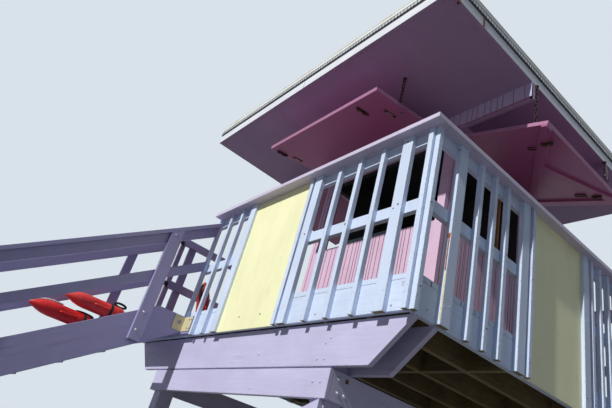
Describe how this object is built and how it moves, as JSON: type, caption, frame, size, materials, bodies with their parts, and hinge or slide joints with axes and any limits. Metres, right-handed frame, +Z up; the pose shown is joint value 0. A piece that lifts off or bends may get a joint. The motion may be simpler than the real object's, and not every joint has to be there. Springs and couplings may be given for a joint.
{
  "type": "lifeguard tower",
  "caption": "Timber lifeguard tower: a pink boarded hut with propped shutters on a railed deck, with splayed beams, legs, an open stair and a broad flat roof.",
  "frame": {"origin": "bottom centre of the whole tower's box, on the ground", "axes": "+Z up, +Y from the foot of the stair towards the rear, +X to the right seen from the stair"},
  "size_m": [3.8916, 6.499, 4.775],
  "materials": {
    "beam_paint": "satin lavender paint on timber",
    "bare_timber": "bare weathered timber",
    "railing_paint": "satin pale blue paint on timber",
    "panel_paint": "satin pale yellow paint on plywood",
    "siding_paint": "satin pink paint on grooved boarding",
    "soffit_paint": "matt mauve paint on plywood",
    "fascia_paint": "satin white paint on timber",
    "roof_sheet": "weathered coated sheet",
    "roof_timber": "bare timber in shade",
    "shutter_paint": "satin deep pink paint on plywood",
    "sash_paint": "near-black paint on timber sashes",
    "chain_steel": "rusty",
    "bracket_enamel": "cream enamel",
    "float_shell": "gloss red moulded shell"
  },
  "bodies": {
    "root": {"legs": "beam_paint", "upper_beams": "beam_paint", "lower_beams": "beam_paint", "cross_beams": "beam_paint", "diagonal_braces": "beam_paint", "near_stringer": "beam_paint", "far_stringer": "beam_paint", "stair_treads": "beam_paint", "stair_ledger": "beam_paint", "stair_posts": "beam_paint", "stair_mid_rails": "beam_paint", "stair_top_rails": "beam_paint", "stair_rail_cap": "beam_paint", "left_posts": "beam_paint", "left_rails": "beam_paint", "front_cap": "beam_paint", "right_cap": "beam_paint", "rear_cap": "beam_paint", "ground_skids": "bare_timber", "joists": "bare_timber", "joist_blocking": "bare_timber", "deck_boards": "bare_timber", "side_rims": "bare_timber", "end_rims": "railing_paint", "front_pickets": "railing_paint", "front_rails": "railing_paint", "right_pickets": "railing_paint", "right_rails": "railing_paint", "rear_pickets": "railing_paint", "rear_rails": "railing_paint", "railing_panels": "panel_paint", "hut_front_wall": "siding_paint", "hut_right_wall": "siding_paint", "hut_left_wall": "siding_paint", "hut_rear_wall": "siding_paint", "header_bands": "siding_paint", "band_backings": "siding_paint", "roof_soffit": "soffit_paint", "roof_fascia_ends": "fascia_paint", "roof_fascia_sides": "fascia_paint", "roof_cover": "roof_sheet", "roof_core": "roof_timber", "front_shutter": "shutter_paint", "right_shutter": "shutter_paint", "left_shutter": "shutter_paint", "shutter_braces": "shutter_paint", "window_sashes": "sash_paint", "shutter_chains": "chain_steel", "stair_bracket": "bracket_enamel", "rescue_cans": "float_shell"}
  },
  "joints": []
}
